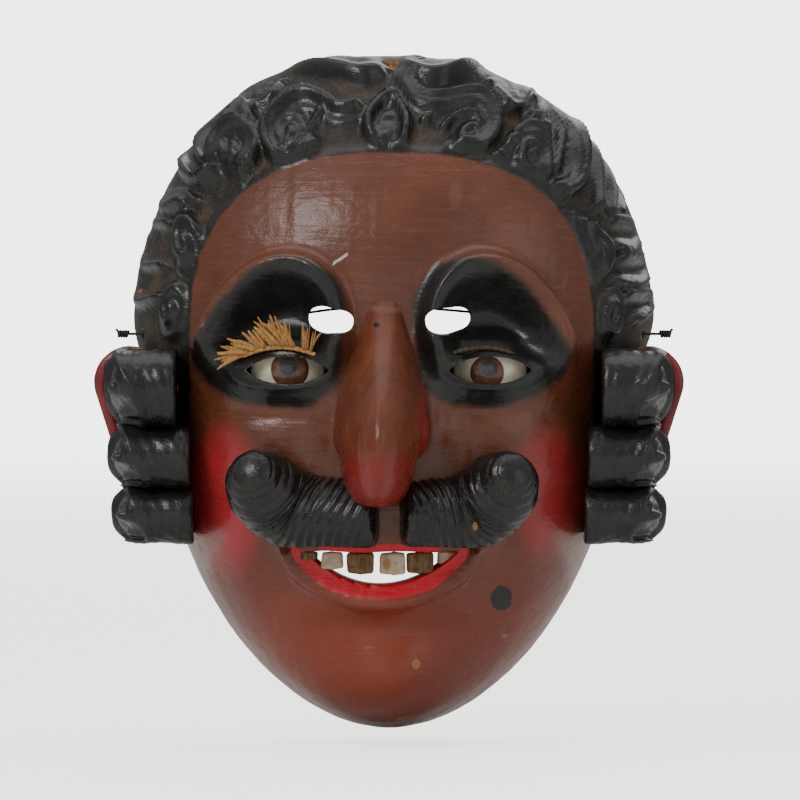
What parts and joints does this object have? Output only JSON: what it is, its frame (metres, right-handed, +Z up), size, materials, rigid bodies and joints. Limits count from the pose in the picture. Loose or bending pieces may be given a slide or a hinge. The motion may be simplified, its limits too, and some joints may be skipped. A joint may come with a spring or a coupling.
{
  "type": "carved folk dance mask",
  "caption": "Carved and painted wooden folk mask of a moustached face, hollow behind, with see-through holes, inset eyes, peg teeth and a hanging wire.",
  "frame": {"origin": "middle of the flat back rim's plane, level with the middle of the mask's height and width", "axes": "-Y is the way the face looks, +X to the viewer's right, +Z up; +Y leaves the flat back rim"},
  "size_m": [0.197, 0.117, 0.2283],
  "materials": {
    "enamelled_wood": "glossy brown-red enamel on carved wood, with black enamel on the hair and brows",
    "enamelled_nose": "glossy brown-red enamel on carved wood",
    "bare_wood": "bare dowel",
    "black_enamel": "glossy black enamel on carved wood",
    "red_enamel": "glossy red enamel on carved wood",
    "gold_paint": "gold-brown paint on a wooden peg",
    "cream_paint": "cream paint on a wooden peg",
    "eye_glaze": "glossy, painted from behind in cream, brown and black",
    "wax": "dark brown wax",
    "plant_fibre": "dry straw-coloured plant fibre",
    "dark_wire": "dark oxidised iron wire"
  },
  "bodies": {
    "mask": {"mask_shell": "enamelled_wood", "nose": "enamelled_nose", "nose_pegs": "bare_wood", "moustache_left": "black_enamel", "moustache_right": "black_enamel", "moustache_pegs": "bare_wood", "sideburn_left": "black_enamel", "sideburn_right": "black_enamel", "sideburn_pegs": "bare_wood", "ear_left": "red_enamel", "ear_right": "red_enamel", "ear_pegs": "bare_wood", "tooth_1": "gold_paint", "tooth_2": "cream_paint", "tooth_3": "gold_paint", "tooth_4": "cream_paint", "tooth_5": "gold_paint", "tooth_6": "cream_paint", "glass_eye_left": "eye_glaze", "glass_eye_right": "eye_glaze", "wax_seat_left": "wax", "wax_seat_right": "wax", "lash_strip_left": "plant_fibre", "lash_fibres_left": "plant_fibre", "lash_strip_right": "plant_fibre"},
    "wire": {"hanging_wire": "dark_wire", "wire_twists": "dark_wire"}
  },
  "joints": [
    {"name": "wire_swing", "type": "hinge", "parent": "mask", "child": "wire", "pos_m": [0, -0.028, 0.019], "axis": [1, 0, 0], "continuous": true}
  ]
}
